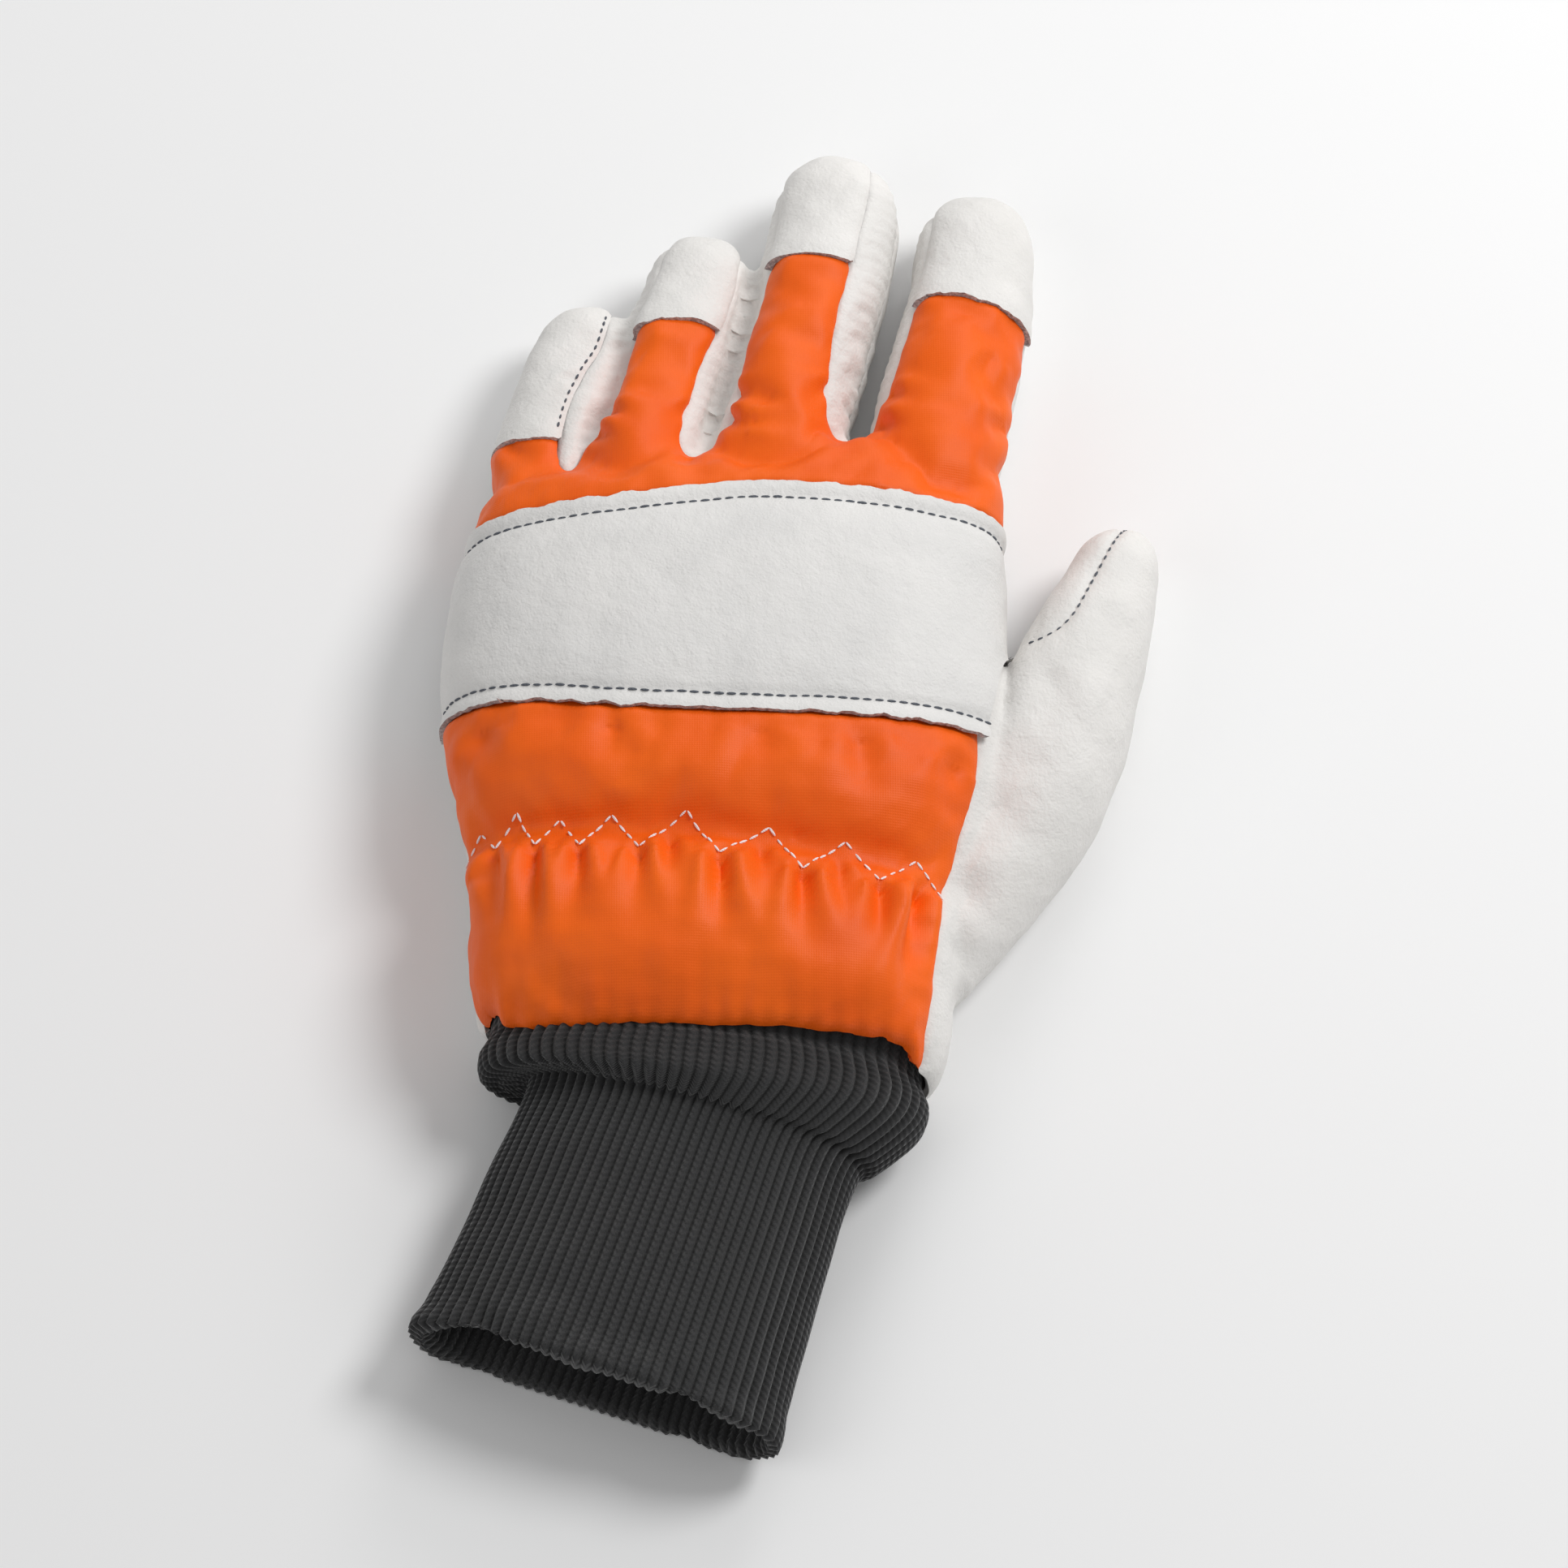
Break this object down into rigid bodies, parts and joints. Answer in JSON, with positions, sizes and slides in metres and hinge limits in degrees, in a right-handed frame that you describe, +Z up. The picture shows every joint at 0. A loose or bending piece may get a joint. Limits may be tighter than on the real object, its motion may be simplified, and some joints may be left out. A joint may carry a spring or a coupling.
{
  "type": "chainsaw glove",
  "caption": "Left-hand work glove with a padded fabric back, leather palm, fingertips and knuckle strap, gathered wrist and a leaning rib-knit cuff, lying on its palm.",
  "frame": {"origin": "on the flat underside of the palm, below the middle of the hand", "axes": "+Y from the wrist to the fingertips, +X to the thumb side, +Z up from the palm to the back of the hand"},
  "size_m": [0.1538, 0.2935, 0.0437],
  "materials": {
    "leather": "smooth natural grain",
    "strap_leather": "matt grain with raw cut edges",
    "padded_fabric": "orange woven polyester over padding",
    "rib_knit": "charcoal rib knit"
  },
  "bodies": {
    "root": {"palm": "leather", "palm_patch": "strap_leather", "back": "padded_fabric", "knuckle_strap": "strap_leather", "little_tip": "leather", "ring_tip": "leather", "middle_tip": "leather", "index_tip": "leather", "little_ring_gusset": "leather", "ring_middle_gusset": "leather", "middle_index_gusset": "leather", "thumb": "leather", "thumb_gusset": "leather", "cuff": "rib_knit"}
  },
  "joints": []
}
